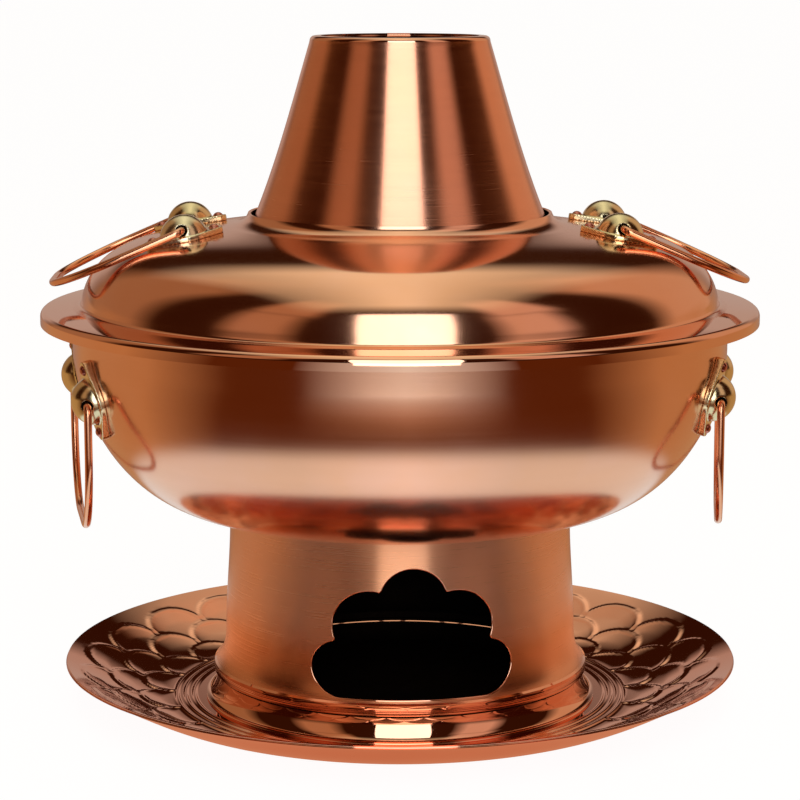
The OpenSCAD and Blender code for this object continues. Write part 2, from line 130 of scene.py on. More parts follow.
def inner(pts, t):
    """The sheet's other face, one thickness to the inner side."""
    out = []
    last = len(pts) - 1
    for i in range(len(pts)):
        a, b = pts[max(i - 1, 0)], pts[max(i, 1)]
        c, d = pts[min(i, last - 1)], pts[min(i + 1, last)]
        n1 = Vector((b[1] - a[1], a[0] - b[0])).normalized()
        n2 = Vector((d[1] - c[1], c[0] - d[0])).normalized()
        n = (n1 + n2).normalized()
        step = t / max(n.dot(n1), 0.3)
        out.append([pts[i][0] + n.x * step, pts[i][1] + n.y * step])
    return out


def rounded_end(a, b, n=4):
    """Half round from point a to point b, bulging away from the sheet's middle."""
    mid = [(a[0] + b[0]) / 2, (a[1] + b[1]) / 2]
    start = atan2(a[1] - mid[1], a[0] - mid[0])
    r = hypot(a[0] - mid[0], a[1] - mid[1])
    return [[mid[0] + r * cos(start + pi * i / n), mid[1] + r * sin(start + pi * i / n)] for i in range(1, n)]


def dedupe(pts):
    """The points without those that all but touch the one before."""
    kept = [pts[0]]
    for p in pts[1:]:
        if hypot(p[0] - kept[-1][0], p[1] - kept[-1][1]) > TOUCHING:
            kept.append(p)
    return kept


def sheet_outline(face, t=GAUGE):
    """Closed outline of a sheet with softly rounded ends, kept inside its own length."""
    face = dedupe(face)
    other = inner(face, t)

    def pulled(end, before):
        d = Vector((end[0] - before[0], end[1] - before[1])).normalized() * (t / 2)
        return [end[0] - d.x, end[1] - d.y]

    face = face[:]
    other = other[:]
    face[0], face[-1] = pulled(face[0], face[1]), pulled(face[-1], face[-2])
    other[0], other[-1] = pulled(other[0], other[1]), pulled(other[-1], other[-2])
    far = rounded_end(face[-1], other[-1])
    near = rounded_end(other[0], face[0])
    return face + far + other[::-1] + near


# ---------------------------------------------------------------- mesh makers
def placed(name, bm):
    """An object in the scene from a bmesh."""
    mesh = bpy.data.meshes.new(name)
    bm.to_mesh(mesh)
    bm.free()
    thing = bpy.data.objects.new(name, mesh)
    bpy.context.scene.collection.objects.link(thing)
    return thing


def new_piece(name, bm, body, materials, replaces=(), sharp=35):
    """A finished piece from a bmesh, smooth but for edges sharper than the given angle."""
    for f in bm.faces:
        f.smooth = True
    for e in bm.edges:
        e.smooth = len(e.link_faces) == 2 and e.calc_face_angle(0) < radians(sharp)
    piece = placed(name, bm)
    for m in materials:
        piece.data.materials.append(m)
    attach(piece, body)
    if replaces:
        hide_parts(*replaces)


def spun(outline, steps=SPIN_STEPS, sectors=12, shape=None):
    """A closed outline spun round the pot's axis: one sector, which may be shaped, and its turned copies."""
    bm = bmesh.new()
    verts = [bm.verts.new((r * MM, 0, z * MM)) for r, z in outline]
    edges = [bm.edges.new((a, b)) for a, b in zip(verts, verts[1:] + verts[:1])]
    bmesh.ops.spin(bm, geom=verts + edges, cent=(0, 0, 0), axis=(0, 0, 1), angle=2 * pi / sectors,
                   steps=steps // sectors, use_merge=False, use_duplicate=False)
    if shape:
        shape(bm)
    sector = bm.verts[:] + bm.edges[:] + bm.faces[:]
    for i in range(1, sectors):
        copy = bmesh.ops.duplicate(bm, geom=sector)["geom"]
        bmesh.ops.rotate(bm, verts=[v for v in copy if isinstance(v, bmesh.types.BMVert)],
                         cent=(0, 0, 0), matrix=Matrix.Rotation(2 * pi * i / sectors, 3, "Z"))
    bmesh.ops.remove_doubles(bm, verts=bm.verts, dist=1e-6)
    bmesh.ops.dissolve_degenerate(bm, dist=1e-7, edges=bm.edges)
    bmesh.ops.recalc_face_normals(bm, faces=bm.faces)
    return bm


def closed_wire(path, r, sides=12):
    """A round wire of radius r that runs round a ring of points."""
    data = bpy.data.curves.new("wire", "CURVE")
    data.dimensions = "3D"
    data.bevel_depth = r * MM
    data.bevel_resolution = sides // 4
    spline = data.splines.new("POLY")
    spline.use_cyclic_u = True
    spline.points.add(len(path) - 1)
    for point, p in zip(spline.points, path):
        point.co = (p[0] * MM, p[1] * MM, p[2] * MM, 1)
    rod = bpy.data.objects.new("wire", data)
    mesh = bpy.data.meshes.new_from_object(rod)
    bm = bmesh.new()
    bm.from_mesh(mesh)
    bpy.data.objects.remove(rod)
    bpy.data.meshes.remove(mesh)
    bmesh.ops.remove_doubles(bm, verts=bm.verts, dist=1e-6)
    bmesh.ops.recalc_face_normals(bm, faces=bm.faces)
    return bm


# ---------------------------------------------------------------- materials
class Nodes:
    """Short calls for making and joining shader nodes."""

    def __init__(self, tree):
        self.tree = tree

    def add(self, kind, **settings):
        node = self.tree.nodes.new(kind)
        for key, value in settings.items():
            setattr(node, key, value)
        return node

    def link(self, a, b):
        self.tree.links.new(a, b)

    def math(self, operation, a, b=None, clamp=False):
        node = self.add("ShaderNodeMath", operation=operation, use_clamp=clamp)
        for i, value in enumerate((a, b)):
            if value is None:
                continue
            if isinstance(value, (int, float)):
                node.inputs[i].default_value = value
            else:
                self.link(value, node.inputs[i])
        return node.outputs[0]

    def noise(self, vector, scale, detail=2.0, roughness=0.5, w=None):
        node = self.add("ShaderNodeTexNoise", noise_dimensions="4D" if w is not None else "3D")
        node.inputs["Scale"].default_value = scale
        node.inputs["Detail"].default_value = detail
        node.inputs["Roughness"].default_value = roughness
        self.link(vector, node.inputs["Vector"])
        if w is not None:
            self.link(w, node.inputs["W"])
        return node.outputs["Fac"]

    def spread(self, value, lo, hi, to_lo, to_hi):
        node = self.add("ShaderNodeMapRange")
        self.link(value, node.inputs["Value"])
        for key, v in (("From Min", lo), ("From Max", hi), ("To Min", to_lo), ("To Max", to_hi)):
            if isinstance(v, (int, float)):
                node.inputs[key].default_value = v
            else:
                self.link(v, node.inputs[key])
        return node.outputs["Result"]

    def mix(self, factor, a, b, blend="MIX"):
        node = self.add("ShaderNodeMix", data_type="RGBA", blend_type=blend)
        for socket, value in ((node.inputs[0], factor), (node.inputs[6], a), (node.inputs[7], b)):
            if isinstance(value, (int, float)):
                socket.default_value = value
            elif isinstance(value, (tuple, list)):
                socket.default_value = (*value[:3], 1)
            else:
                self.link(value, socket)
        return node.outputs[2]


def group(name, inputs, outputs):
    """A new node group with float sockets. Returns the tree, its makers and its two ends."""
    tree = bpy.data.node_groups.new(name, "ShaderNodeTree")
    for label, default in inputs.items():
        socket = tree.interface.new_socket(label, in_out="INPUT", socket_type="NodeSocketFloat")
        socket.default_value = default
    for label in outputs:
        tree.interface.new_socket(label, in_out="OUTPUT", socket_type="NodeSocketFloat")
    n = Nodes(tree)
    return tree, n, n.add("NodeGroupInput"), n.add("NodeGroupOutput")


LATHE_FINENESS = 2400.0
BAND_STRETCH = 0.06


def make_lathe_lines():
    """Fine rings that spinning and brushing leave round the axis, as a value about 0.5."""
    tree, n, start, end = group("lathe_lines", {"Fineness": LATHE_FINENESS, "Turn": 1.6}, ("Lines", "Bands"))
    place = n.add("ShaderNodeTexCoord")
    part = n.add("ShaderNodeSeparateXYZ")
    n.link(place.outputs["Object"], part.inputs[0])
    x, y, z = part.outputs
    r = n.math("SQRT", n.math("ADD", n.math("MULTIPLY", x, x), n.math("MULTIPLY", y, y)))
    safe = n.math("MAXIMUM", r, 1e-4)
    around = n.add("ShaderNodeCombineXYZ")
    n.link(n.math("MULTIPLY", n.math("DIVIDE", x, safe), start.outputs["Turn"]), around.inputs[0])
    n.link(n.math("MULTIPLY", n.math("DIVIDE", y, safe), start.outputs["Turn"]), around.inputs[1])
    n.link(n.math("MULTIPLY", r, start.outputs["Fineness"]), around.inputs[2])
    depth = n.math("MULTIPLY", z, start.outputs["Fineness"])
    n.link(n.noise(around.outputs[0], 1.0, detail=3.0, roughness=0.7, w=depth), end.inputs["Lines"])
    coarse = n.add("ShaderNodeVectorMath", operation="MULTIPLY")
    coarse.inputs[1].default_value = (1.0, 1.0, BAND_STRETCH)
    n.link(around.outputs[0], coarse.inputs[0])
    n.link(n.noise(coarse.outputs[0], 1.0, w=n.math("MULTIPLY", depth, BAND_STRETCH)), end.inputs["Bands"])
    return tree


def make_handling():
    """Faint smudges and wiping marks, from 0 on clean metal to 1."""
    tree, n, start, end = group("handling", {"Size": 14.0}, ("Smudge", "Speckle"))
    place = n.add("ShaderNodeTexCoord")
    broad = n.add("ShaderNodeTexNoise")
    broad.inputs["Detail"].default_value = 4.0
    broad.inputs["Roughness"].default_value = 0.55
    n.link(place.outputs["Object"], broad.inputs["Vector"])
    n.link(start.outputs["Size"], broad.inputs["Scale"])
    n.link(n.spread(broad.outputs["Fac"], 0.42, 0.7, 0.0, 1.0), end.inputs["Smudge"])
    fine = n.noise(place.outputs["Object"], 900.0, roughness=0.6)
    n.link(n.spread(fine, 0.3, 0.7, 0.0, 1.0), end.inputs["Speckle"])
    return tree


lathe_lines = make_lathe_lines()
handling = make_handling()


GROOVE_SHADE = 0.72
GROOVE_DEPTH = 0.00002
QUARTER_TURN = 0.25


def metal(name, tone, second, roughness, line_tone=0.0, line_rough=0.0, line_bump=0.0, anisotropic=0.0,
          smudge=0.1, speckle=0.0):
    """A metal with two tones, lathe lines, smudges and, if cast, a fine grain."""
    m = bpy.data.materials.new(name)
    m.use_nodes = True
    n = Nodes(m.node_tree)
    shader = m.node_tree.nodes["Principled BSDF"]
    lines = n.add("ShaderNodeGroup", node_tree=lathe_lines)
    marks = n.add("ShaderNodeGroup", node_tree=handling)
    base = n.mix(marks.outputs["Smudge"], tone, second)
    darker = tuple(c * GROOVE_SHADE for c in tone)
    streak = n.spread(lines.outputs["Lines"], 0.3, 0.7, line_tone, 0.0)
    base = n.mix(streak, base, darker)
    band = n.spread(lines.outputs["Bands"], 0.35, 0.65, line_tone * 0.6, 0.0)
    base = n.mix(band, base, darker)
    n.link(base, shader.inputs["Base Color"])
    rough = n.math("ADD", n.spread(lines.outputs["Lines"], 0.3, 0.7, -line_rough, line_rough), roughness)
    rough = n.math("ADD", rough, n.math("MULTIPLY", marks.outputs["Smudge"], smudge))
    rough = n.math("ADD", rough, n.math("MULTIPLY", marks.outputs["Speckle"], speckle * 0.15), clamp=True)
    n.link(rough, shader.inputs["Roughness"])
    height = n.math("MULTIPLY", lines.outputs["Lines"], line_bump)
    height = n.math("ADD", height, n.math("MULTIPLY", marks.outputs["Speckle"], speckle))
    bump = n.add("ShaderNodeBump")
    bump.inputs["Distance"].default_value = GROOVE_DEPTH
    n.link(height, bump.inputs["Height"])
    n.link(bump.outputs[0], shader.inputs["Normal"])
    shader.inputs["Metallic"].default_value = 1.0
    shader.inputs["Anisotropic"].default_value = anisotropic
    shader.inputs["Anisotropic Rotation"].default_value = QUARTER_TURN
    return m


COPPER = (0.92, 0.50, 0.32)
COPPER_PINK = (0.93, 0.54, 0.40)
BRASS = (0.80, 0.69, 0.40)
BRASS_PALE = (0.86, 0.78, 0.54)

satin_copper = metal("satin_copper", (0.94, 0.43, 0.265), (0.94, 0.46, 0.31), 0.22, line_tone=0.18,
                     line_rough=0.04, line_bump=0.2, anisotropic=0.9, smudge=0.03)
brushed_base = metal("brushed_base", (0.95, 0.46, 0.25), COPPER, 0.29, line_tone=0.14, line_rough=0.04,
                     line_bump=0.2, anisotropic=0.95, smudge=0.03)
bright_copper = metal("bright_copper", COPPER, COPPER_PINK, 0.17, line_tone=0.10, line_rough=0.02,
                      line_bump=0.08, anisotropic=0.5, smudge=0.02)
polished_lid = metal("polished_lid", COPPER, COPPER_PINK, 0.11, line_tone=0.05, line_rough=0.01, smudge=0.02)
mirror_copper = metal("mirror_copper", COPPER, COPPER_PINK, 0.035, line_tone=0.03, line_rough=0.01,
                      smudge=0.02)
tray_copper = metal("tray_copper", (0.84, 0.39, 0.25), (0.88, 0.45, 0.31), 0.05, line_tone=0.03,
                    line_rough=0.01, smudge=0.03)
wire_copper = metal("wire_copper", (0.91, 0.42, 0.23), COPPER, 0.13, smudge=0.06, speckle=0.2)
polished_brass = metal("polished_brass", BRASS, BRASS_PALE, 0.11, smudge=0.08, speckle=0.5)
# Near-black rough copper for the faces that look inwards, the foot's hidden top, the tray's middle under the
# base and the chimney's collar.
near_black_copper = metal("near_black_copper", (0.03, 0.016, 0.011), (0.012, 0.009, 0.008), 0.62, smudge=0.15,
                     speckle=1.0)
raw_iron = metal("raw_iron", (0.05, 0.046, 0.042), (0.09, 0.06, 0.045), 0.6, smudge=0.15, speckle=3.0)
eye_shadow = metal("eye_shadow", (0.02, 0.016, 0.01), (0.03, 0.02, 0.012), 0.5, smudge=0.1, speckle=0.5)
# The rivets' copper is a darker, redder copy of the body's copper: painted shade for the dark surroundings
# their heads mirror.
rivet_copper = metal("rivet_copper", (0.55, 0.2, 0.16), (0.62, 0.27, 0.2), 0.16, smudge=0.08, speckle=0.3)


# ---------------------------------------------------------------- tray
TRAY_RIM_Z = TRAY_H - GAUGE
SCALE_ROWS = (153.0, 139.2, 125.4)
SCALE_PITCH = 13.8
SCALES_ROUND = 24
SCALE_LINE_W = 1.6
SCALE_LINE_H = 0.85
SCALE_STEP_H = 0.55
SCALE_STEP_W = 9.0
SCALE_ARC_POWER = 2.1
SCALE_ARC_POINTS = 16
SCALE_FIELD = (109.0, 156.0)
SCALE_FADE_W = 3
RING_FIELD_R = 97
WELL_RINGS = (100.0, 104.2, 108.4)
WELL_RING_R = 1.5
WELL_RING_H = 0.7
TRAY_STEPS = 30 * SCALES_ROUND
BLACK_CENTRE_R = 86
PLAIN_RADII = [0.0, 50.0, 80.0, 92.0, 96.0]
RING_RADII = [97.5 + 0.5 * i for i in range(26)]
SCALE_RADII = [111.2 + 1.2 * i for i in range(38)]
RIM_RADII = [157.4, 159, 160.4]


def tray_face(n):
    """Underside of the tray, from the rim in to the well."""
    return curve([[TRAY_R, TRAY_RIM_Z], [TRAY_R - 16, TRAY_RIM_Z * 0.63], [WELL_R + 16, 0], [WELL_R, 0]], n)


def height_on(pts, r):
    """Height on an outline that runs inwards, at a radius."""
    for a, b in zip(pts, pts[1:]):
        if b[0] <= r <= a[0] and a[0] > b[0]:
            return along(b[1], a[1], (r - b[0]) / (a[0] - b[0]))
    return pts[-1][1] if r < pts[-1][0] else pts[0][1]


def tray_outline():
    """The tray's section, whose upper face has points close together where it is embossed."""
    under = tray_face(28)
    over = inner(tray_face(120), GAUGE) + [[0, GAUGE]]
    upper = [[r, height_on(over, r)] for r in PLAIN_RADII + RING_RADII + SCALE_RADII + RIM_RADII]
    low_end, high_end = under[0], over[0]
    inward = Vector((under[1][0] - low_end[0], under[1][1] - low_end[1])).normalized() * (GAUGE / 2)
    low_end = [low_end[0] + inward.x, low_end[1] + inward.y]
    high_end = [high_end[0] + inward.x, high_end[1] + inward.y]
    return [low_end] + under[1:] + [[60, 0], [0, 0]] + upper + [high_end] + rounded_end(high_end, low_end, 6)


def scale_arc(v):
    """How far the edge of a scale lies in from its apex, at v of its half width."""
    return SCALE_PITCH * (1 - sqrt(max(0.0, 1 - v ** SCALE_ARC_POWER)))


scale_cache = {}


def scale_lift(r, turn):
    """Height of the embossed fish scales at a radius and an angle, given in scales round the tray."""
    key = (round(r, 2), round(turn % 1.0, 4))
    if key in scale_cache:
        return scale_cache[key]
    nearest = 99.0
    step = 0.0
    for row, apex in enumerate(SCALE_ROWS):
        depth = apex - r
        if not -4 < depth < SCALE_PITCH + 3:
            continue
        half = pi * r / SCALES_ROUND
        u = ((turn + 0.5 * (row % 2)) % 1.0) * 2 - 1
        x = abs(u) * half
        for k in range(SCALE_ARC_POINTS + 1):
            v = k / SCALE_ARC_POINTS
            nearest = min(nearest, hypot(x - v * half, depth - scale_arc(v)))
        arc = scale_arc(abs(u))
        if depth > arc:
            step = max(step, 1 - (depth - arc) / SCALE_STEP_W)
    line = SCALE_LINE_H * max(0.0, 1 - (nearest / SCALE_LINE_W) ** 2)
    lift = max(line, SCALE_STEP_H * max(0.0, step))
    scale_cache[key] = lift
    return lift


def ring_lift(r):
    """Height of the well's three raised rings at a radius."""
    sink = WELL_RING_R - WELL_RING_H
    return max([0.0] + [sqrt(WELL_RING_R ** 2 - (r - ring) ** 2) - sink
                        for ring in WELL_RINGS if abs(r - ring) < WELL_RING_R])


def emboss(bm):
    """Raises the fish scales and the well's rings on the tray's upper face."""
    under = tray_face(60)
    for v in bm.verts:
        r = hypot(v.co.x, v.co.y) / MM
        if not RING_FIELD_R < r < SCALE_FIELD[1] or v.co.z / MM < height_on(under, r) + GAUGE / 2:
            continue
        lift = ring_lift(r)
        if r > SCALE_FIELD[0]:
            edge = min(1.0, (SCALE_FIELD[1] - r) / SCALE_FADE_W)
            lift = max(lift, edge * scale_lift(r, atan2(v.co.y, v.co.x) / (2 * pi) * SCALES_ROUND))
        v.co.z += lift * MM


def make_tray():
    bm = spun(tray_outline(), TRAY_STEPS, SCALES_ROUND, emboss)
    # The tray's middle, under the base, is near-black.
    finish_faces(bm, 1, lambda r, z, outward, up: r < BLACK_CENTRE_R and up > 0)
    new_piece("tray_dish", bm, "tray", [tray_copper, near_black_copper], ["tray"], 50)


# ---------------------------------------------------------------- outlines of the spun pieces
BAND_CHAMFER = 0.8
BAND_LIP_W = 3.4


def base_face():
    flare_top = Z_FLARE + FLARE_H
    wall = curve([[BASE_TOP_R, Z_BOWL], [BASE_TOP_R, along(Z_BOWL, flare_top, 0.4)],
                  [BASE_LOW_R - 0.4, along(Z_BOWL, flare_top, 0.6)], [BASE_LOW_R, flare_top]], 20)
    flare = curve([[BASE_LOW_R, flare_top - 0.5], [BASE_LOW_R + 0.3, Z_FLARE + FLARE_H * 0.5],
                   [BASE_LOW_R + 1.7, Z_FLARE + FLARE_H * 0.16], [BAND_R - 1, Z_FLARE]], 20)
    band = [[BAND_R, Z_FLARE - BAND_CHAMFER], [BAND_R, Z_BAND + BAND_CHAMFER]]
    lip = [[BAND_R - BAND_CHAMFER, Z_BAND], [BAND_R - BAND_LIP_W, Z_BAND]]
    return wall + flare + band + lip


def foot_face():
    top = BAND_R - BAND_CHAMFER - 0.9
    skirt = curve([[top, Z_BAND], [top + 0.3, along(Z_BAND, Z_WELL, 0.4)],
                   [FOOT_LIP_R - 4.6, Z_WELL + GAUGE + 2], [FOOT_LIP_R - 2.6, Z_WELL + GAUGE]], 16)
    return skirt + [[FOOT_LIP_R, Z_WELL + GAUGE]]


FLANGE_BEND = 3.0
WALL_STRAIGHT = 14.6


def bowl_wall():
    return curve([[BOWL_R, Z_FLANGE - WALL_STRAIGHT], [BOWL_R - 0.6, Z_BOWL + BOWL_H * 0.5625],
                  [BOWL_R - 20.2, Z_BOWL + 0.7], [BOWL_FLOOR_R, Z_BOWL]], 48)


def bowl_face():
    shoulder = bend([BOWL_R + FLANGE_BEND, Z_FLANGE - FLANGE_BEND], FLANGE_BEND, 90, 180)
    return [[EDGE_MID_R, Z_FLANGE]] + shoulder + bowl_wall() + [[TUBE_FOOT_R, Z_BOWL]]


TUBE_BEND = 1.6
TUBE_FLANGE_W = 6.0


def tube_face():
    return ([[CHIMNEY_FOOT_R - 0.4, Z_TUBE - GAUGE]]
            + bend([TUBE_TOP_R + TUBE_BEND, Z_TUBE - GAUGE - TUBE_BEND], TUBE_BEND, 90, 180)
            + [[TUBE_FOOT_R, Z_BOWL + 16], [TUBE_FOOT_R, Z_BOWL + 1], [TUBE_FOOT_R, Z_BOWL],
               [TUBE_FOOT_R + 1, Z_BOWL], [TUBE_FOOT_R + TUBE_FLANGE_W, Z_BOWL]])


CROWN_Z = Z_NECK - 6.4
CROWN_R = NECK_R + 10.3
RIM_BEND = 2.7


def lid_flange_z(r):
    return Z_LID + GAUGE + (EDGE_MID_R - r) * 0.09


def lid_shoulder():
    return curve([[CROWN_R, CROWN_Z], [CROWN_R + 30, CROWN_Z - 4.6], [LID_FOOT_R - 4.8, CROWN_Z - 5.2],
                  [LID_FOOT_R, Z_LID + 4.4]], 48)


def lid_face():
    neck = curve([[NECK_R, Z_NECK], [NECK_R + 0.9, Z_NECK - 4.2], [NECK_R + 4.3, CROWN_Z + 0.8],
                  [CROWN_R - 0.6, CROWN_Z + 0.08]], 16)
    foot = curve([[LID_FOOT_R + 0.1, Z_LID + 4], [LID_FOOT_R + 0.5, lid_flange_z(LID_FOOT_R)],
                  [LID_FOOT_R + 1.5, lid_flange_z(LID_FOOT_R + 1.5)],
                  [LID_FOOT_R + 4, lid_flange_z(LID_FOOT_R + 4)]], 12)
    rim = bend([RIM_R - RIM_BEND, lid_flange_z(RIM_R - RIM_BEND) - RIM_BEND], RIM_BEND, 88, 0)
    return neck + lid_shoulder() + foot + rim + [[RIM_R, lid_flange_z(RIM_R) - 6.8]]


TOP_BEND = 2.3


def chimney_face():
    side = curve([[CHIMNEY_TOP_R, Z_MOUTH - TOP_BEND * 1.1],
                  [along(CHIMNEY_TOP_R, CHIMNEY_FOOT_R, 0.36) - 1.32, along(Z_MOUTH, Z_CHIMNEY, 0.36)],
                  [along(CHIMNEY_TOP_R, CHIMNEY_FOOT_R, 0.66) - 2.2, along(Z_MOUTH, Z_CHIMNEY, 0.68)],
                  [CHIMNEY_FOOT_R, Z_CHIMNEY]], 40)
    return [[MOUTH_R, Z_MOUTH]] + bend([CHIMNEY_TOP_R - TOP_BEND, Z_MOUTH - TOP_BEND], TOP_BEND, 90, 8) + side


# ---------------------------------------------------------------- spun pieces
def finish_faces(bm, index, test):
    """Gives the faces that pass a test the material of that index."""
    for f in bm.faces:
        c = f.calc_center_median() / MM
        if test(hypot(c.x, c.y), c.z, f.normal.x * c.x + f.normal.y * c.y, f.normal.z):
            f.material_index = index


def towards_fire(r, z, outward, up):
    """True for a face whose outward lean says that it looks to the inside."""
    return outward < 0.4 * r and abs(up) < 0.98


LIP_W = 1.5
HIDDEN_TOP_H = 0.8
ROLLED_H = 2.2
BLACK_BELOW_MOUTH = 3
LID_FOOT_W = 3.8


def make_foot_and_bowl():
    foot = spun(sheet_outline(foot_face()))
    # The foot's inward faces and its hidden top are near-black.
    finish_faces(foot, 1, lambda r, z, outward, up: (towards_fire(r, z, outward, up)
                                                     and r < FOOT_LIP_R - LIP_W))
    finish_faces(foot, 1, lambda r, z, outward, up: z > Z_BAND - HIDDEN_TOP_H)
    new_piece("foot_skirt", foot, "pot", [mirror_copper, near_black_copper], ["foot_ring"], 50)
    bowl = spun(sheet_outline(bowl_face()))
    finish_faces(bowl, 1, lambda r, z, outward, up: r > BOWL_R + LIP_W)
    new_piece("bowl_shell", bowl, "pot", [bright_copper, mirror_copper], ["bowl"], 50)
    edge = bend([EDGE_MID_R, Z_EDGE], EDGE_R, 0, 337.5, 15)
    new_piece("bowl_wired_edge", spun(edge), "pot", [mirror_copper], (), 50)
    tube = spun(sheet_outline(tube_face()))
    # The tube's inward faces are near-black.
    finish_faces(tube, 1, towards_fire)
    new_piece("tube_wall", tube, "pot", [bright_copper, near_black_copper], ["fire_tube"], 50)


def make_lid_and_chimney():
    lid = spun(sheet_outline(lid_face()))
    finish_faces(lid, 1, lambda r, z, outward, up: r > LID_FOOT_R + LID_FOOT_W)
    new_piece("lid_shell", lid, "lid", [polished_lid, mirror_copper], ["lid"], 50)
    cone = spun(sheet_outline(chimney_face()))
    finish_faces(cone, 2, lambda r, z, outward, up: z > Z_MOUTH - ROLLED_H)
    # The chimney's inward faces below its mouth are near-black.
    finish_faces(cone, 1, lambda r, z, outward, up: (towards_fire(r, z, outward, up)
                                                     and z < Z_MOUTH - BLACK_BELOW_MOUTH))
    new_piece("chimney_shell", cone, "chimney", [satin_copper, near_black_copper, mirror_copper], ["chimney_cone"],
              50)


# ---------------------------------------------------------------- base drum with its cloud-shaped opening
CLOUD_TOP_R = 16.0
CLOUD_MID_R = 17.3
CLOUD_LOW_R = 13.3
CLOUD_SILL = Z_FLARE + 0.8
CLOUD_TURN = 2.3
CLOUD_STEPS = 288
CLOUD_EDGE_R = 0.66


def cloud_lobes():
    """Centres and radii of the cloud's round lobes, seen from the front."""
    low_z = CLOUD_SILL + CLOUD_LOW_R
    low_x = CLOUD_LOW_R * 2.48
    mid_z = low_z + CLOUD_LOW_R * 0.4 + CLOUD_MID_R * 0.82
    mid_x = CLOUD_MID_R * 1.14
    top_z = mid_z + CLOUD_TOP_R * 0.74
    return [(0, top_z, CLOUD_TOP_R), (mid_x, mid_z, CLOUD_MID_R), (-mid_x, mid_z, CLOUD_MID_R),
            (low_x, low_z, CLOUD_LOW_R), (-low_x, low_z, CLOUD_LOW_R)]


def cloud_outline():
    """The cloud's edge: the farthest point of any lobe or of the sill in each direction from its middle."""
    lobes = cloud_lobes()
    low_x = lobes[3][0]
    mid_z = CLOUD_SILL + CLOUD_LOW_R * 1.6
    pts = []
    for i in range(CLOUD_STEPS):
        a = 2 * pi * i / CLOUD_STEPS
        dx, dz = cos(a), sin(a)
        reach = 0.0
        for x, z, r in lobes:
            ahead = x * dx + (z - mid_z) * dz
            aside = x * dz - (z - mid_z) * dx
            if abs(aside) < r:
                reach = max(reach, ahead + sqrt(r * r - aside * aside))
        if dz < 0 and abs(dx / dz * (CLOUD_SILL - mid_z)) <= low_x:
            reach = max(reach, (CLOUD_SILL - mid_z) / dz)
        pts.append((dx * reach, mid_z + dz * reach))
    return pts


def base_radius(z):
    face = base_face()
    for a, b in zip(face, face[1:]):
        if b[1] <= z <= a[1] and a[1] > b[1]:
            return along(b[0], a[0], (z - b[1]) / (a[1] - b[1]))
    return BAND_R


def applied(bm, *modifiers):
    """A mesh with modifiers applied, as a new bmesh. Each modifier is its kind and its settings."""
    raw = placed("raw", bm)
    mesh = raw.data
    for kind, settings in modifiers:
        modifier = raw.modifiers.new(kind.lower(), kind)
        for key, value in settings.items():
            setattr(modifier, key, value)
    graph = bpy.context.evaluated_depsgraph_get()
    done = bpy.data.meshes.new_from_object(raw.evaluated_get(graph))
    result = bmesh.new()
    result.from_mesh(done)
    bpy.data.objects.remove(raw)
    bpy.data.meshes.remove(mesh)
    bpy.data.meshes.remove(done)
    return result


def make_base():
    turned = Matrix.Rotation(radians(CLOUD_TURN), 4, "Z")
    outline = cloud_outline()
    knife = bmesh.new()
    face = knife.faces.new([knife.verts.new((x * MM, -BASE_TOP_R / 2 * MM, z * MM)) for x, z in outline])
    pushed = bmesh.ops.extrude_face_region(knife, geom=[face])
    verts = [v for v in pushed["geom"] if isinstance(v, bmesh.types.BMVert)]
    bmesh.ops.translate(knife, verts=verts, vec=(0, -(BAND_R + 20) * MM, 0))
    bmesh.ops.recalc_face_normals(knife, faces=knife.faces)
    bmesh.ops.transform(knife, matrix=turned, verts=knife.verts)
    cutter = placed("cutter", knife)
    drum = spun(sheet_outline(base_face()), 240)
    drum = applied(drum, ("BOOLEAN", {"object": cutter, "operation": "DIFFERENCE", "solver": "EXACT"}))
    bpy.data.objects.remove(cutter)
    # The drum's inward faces and the inside of its lower band are near-black.
    finish_faces(drum, 1, towards_fire)
    inside = BAND_R - 1.1
    finish_faces(drum, 2, lambda r, z, outward, up: z < Z_FLARE + 0.3 and r > inside and outward > 0)
    finish_faces(drum, 1, lambda r, z, outward, up: z < Z_FLARE and r < inside)
    new_piece("base_shell", drum, "pot", [brushed_base, near_black_copper, mirror_copper], ["base_drum"],
              50)
    path = []
    for x, z in outline:
        r = base_radius(z) - GAUGE / 2
        path.append(turned @ Vector((x, -sqrt(r * r - x * x), z)))
    new_piece("cloud_edge", closed_wire(path, CLOUD_EDGE_R), "pot", [mirror_copper], (), 60)


# ---------------------------------------------------------------- lugs, rivets, bails, grate and collar
CAST_GRAIN = 0.36
EYE_MOUTH_R = 2.75
CARRIERS = {"bowl": "pot", "lid": "lid"}


def merged(node):
    """A copy of a carried-over node's mesh with its loose triangles joined."""
    bm = bmesh.new()
    bm.from_mesh(nodes[node].data)
    bmesh.ops.remove_doubles(bm, verts=bm.verts, dist=2e-6)
    return bm


def softened(node, width, segments=2):
    """A copy of a node with its sharp edges softly rounded."""
    bm = merged(node)
    bmesh.ops.dissolve_limit(bm, angle_limit=radians(0.5), verts=bm.verts, edges=bm.edges)
    edges = [e for e in bm.edges if len(e.link_faces) == 2 and e.calc_face_angle(0) > radians(40)]
    bmesh.ops.bevel(bm, geom=edges, offset=width * MM, segments=segments, profile=0.5, affect="EDGES",
                    material=-1, clamp_overlap=True)
    return bm


def eye_axis(where, side):
    """A point on the line through a handle's two eyes, and the line's direction."""
    for joint in frame["joints"]:
        if joint["name"] == f"{where}_bail_{side}_hinge":
            return Vector(joint["pos_m"]), Vector(joint["axis"]).normalized()


